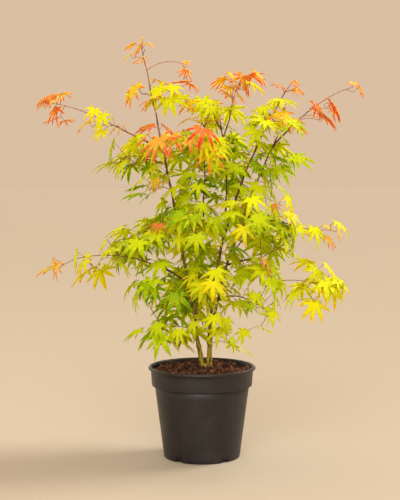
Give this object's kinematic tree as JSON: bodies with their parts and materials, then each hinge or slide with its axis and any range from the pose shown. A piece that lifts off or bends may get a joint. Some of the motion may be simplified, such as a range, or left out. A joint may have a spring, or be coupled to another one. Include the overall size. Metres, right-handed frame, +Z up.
{
  "type": "potted japanese maple",
  "caption": "Young multi-stemmed japanese maple in a round plastic nursery pot, with an open crown of lobed leaves turning from green to coral at the shoot tips.",
  "frame": {"origin": "middle of the pot's flat underside", "axes": "+Z up along the pot's axis; -Y is the plant's front, +X its right seen from the front"},
  "size_m": [0.6507, 0.3464, 0.8554],
  "materials": {
    "pot": "moulded charcoal plastic, satin-matt, with fine turning marks on the collar",
    "compost": "loose chips of composted bark, matt, with dark gaps",
    "stem_bark": "thin smooth bark, olive green at the foot and brown above, with fine lengthwise ridges",
    "bough_bark": "young smooth bark, reddish brown with darker rings at the nodes",
    "leaf_green": "thin soft leaf, mid green, faint satin",
    "leaf_lime": "thin soft leaf, lime green, faint satin",
    "leaf_yellow": "thin soft leaf, clear yellow with orange tips",
    "leaf_amber": "thin young leaf, amber",
    "leaf_coral": "thin young leaf, coral red with a yellow heart"
  },
  "bodies": {
    "root": {"pot": "pot", "soil": "compost", "left_stem": "stem_bark", "right_stem": "stem_bark", "centre_stem": "stem_bark", "outer_stem": "stem_bark", "back_stem": "stem_bark", "bough_far_left_high": "bough_bark", "bough_left_high": "bough_bark", "bough_left_mid": "bough_bark", "bough_far_left_low": "bough_bark", "bough_crest_left": "bough_bark", "bough_crest_right": "bough_bark", "bough_far_right_high": "bough_bark", "bough_far_right_mid": "bough_bark", "bough_far_right_low": "bough_bark", "bough_low_right": "bough_bark", "bough_back_left": "bough_bark", "bough_back_right": "bough_bark", "leaves_foot_left": "leaf_green", "leaves_foot_right": "leaf_green", "leaves_foot_centre": "leaf_yellow", "leaves_low_left": "leaf_green", "leaves_low_centre": "leaf_yellow", "leaves_low_right": "leaf_green", "leaves_low_tip": "leaf_yellow", "leaves_low_back": "leaf_green", "leaves_left_mid": "leaf_lime", "leaves_left_inner": "leaf_lime", "leaves_far_left_low": "leaf_yellow", "leaves_far_left_tip": "leaf_coral", "leaves_centre_low": "leaf_green", "leaves_right_low": "leaf_lime", "leaves_far_right_low": "leaf_yellow", "leaves_right_mid": "leaf_lime", "leaves_far_right_mid": "leaf_amber", "leaves_front_mid": "leaf_lime", "leaves_right_front": "leaf_lime", "leaves_centre_mid": "leaf_green", "leaves_right_upper": "leaf_yellow", "leaves_back_left": "leaf_green", "leaves_back_right": "leaf_green", "leaves_left_upper": "leaf_lime", "leaves_left_high": "leaf_lime", "leaves_left_coral": "leaf_coral", "leaves_front_coral": "leaf_coral", "leaves_upper_left": "leaf_green", "leaves_upper_right": "leaf_green", "leaves_back_high": "leaf_green", "leaves_right_high": "leaf_lime", "leaves_far_left_mid": "leaf_yellow", "leaves_far_left_high": "leaf_coral", "leaves_crest": "leaf_lime", "leaves_crest_left": "leaf_coral", "leaves_crest_right": "leaf_amber", "leaves_right_tip": "leaf_coral", "leaves_far_right_high": "leaf_coral", "leaves_far_right_top": "leaf_coral", "leaves_leader_low": "leaf_yellow", "leaves_leader_top": "leaf_amber"}
  },
  "joints": []
}
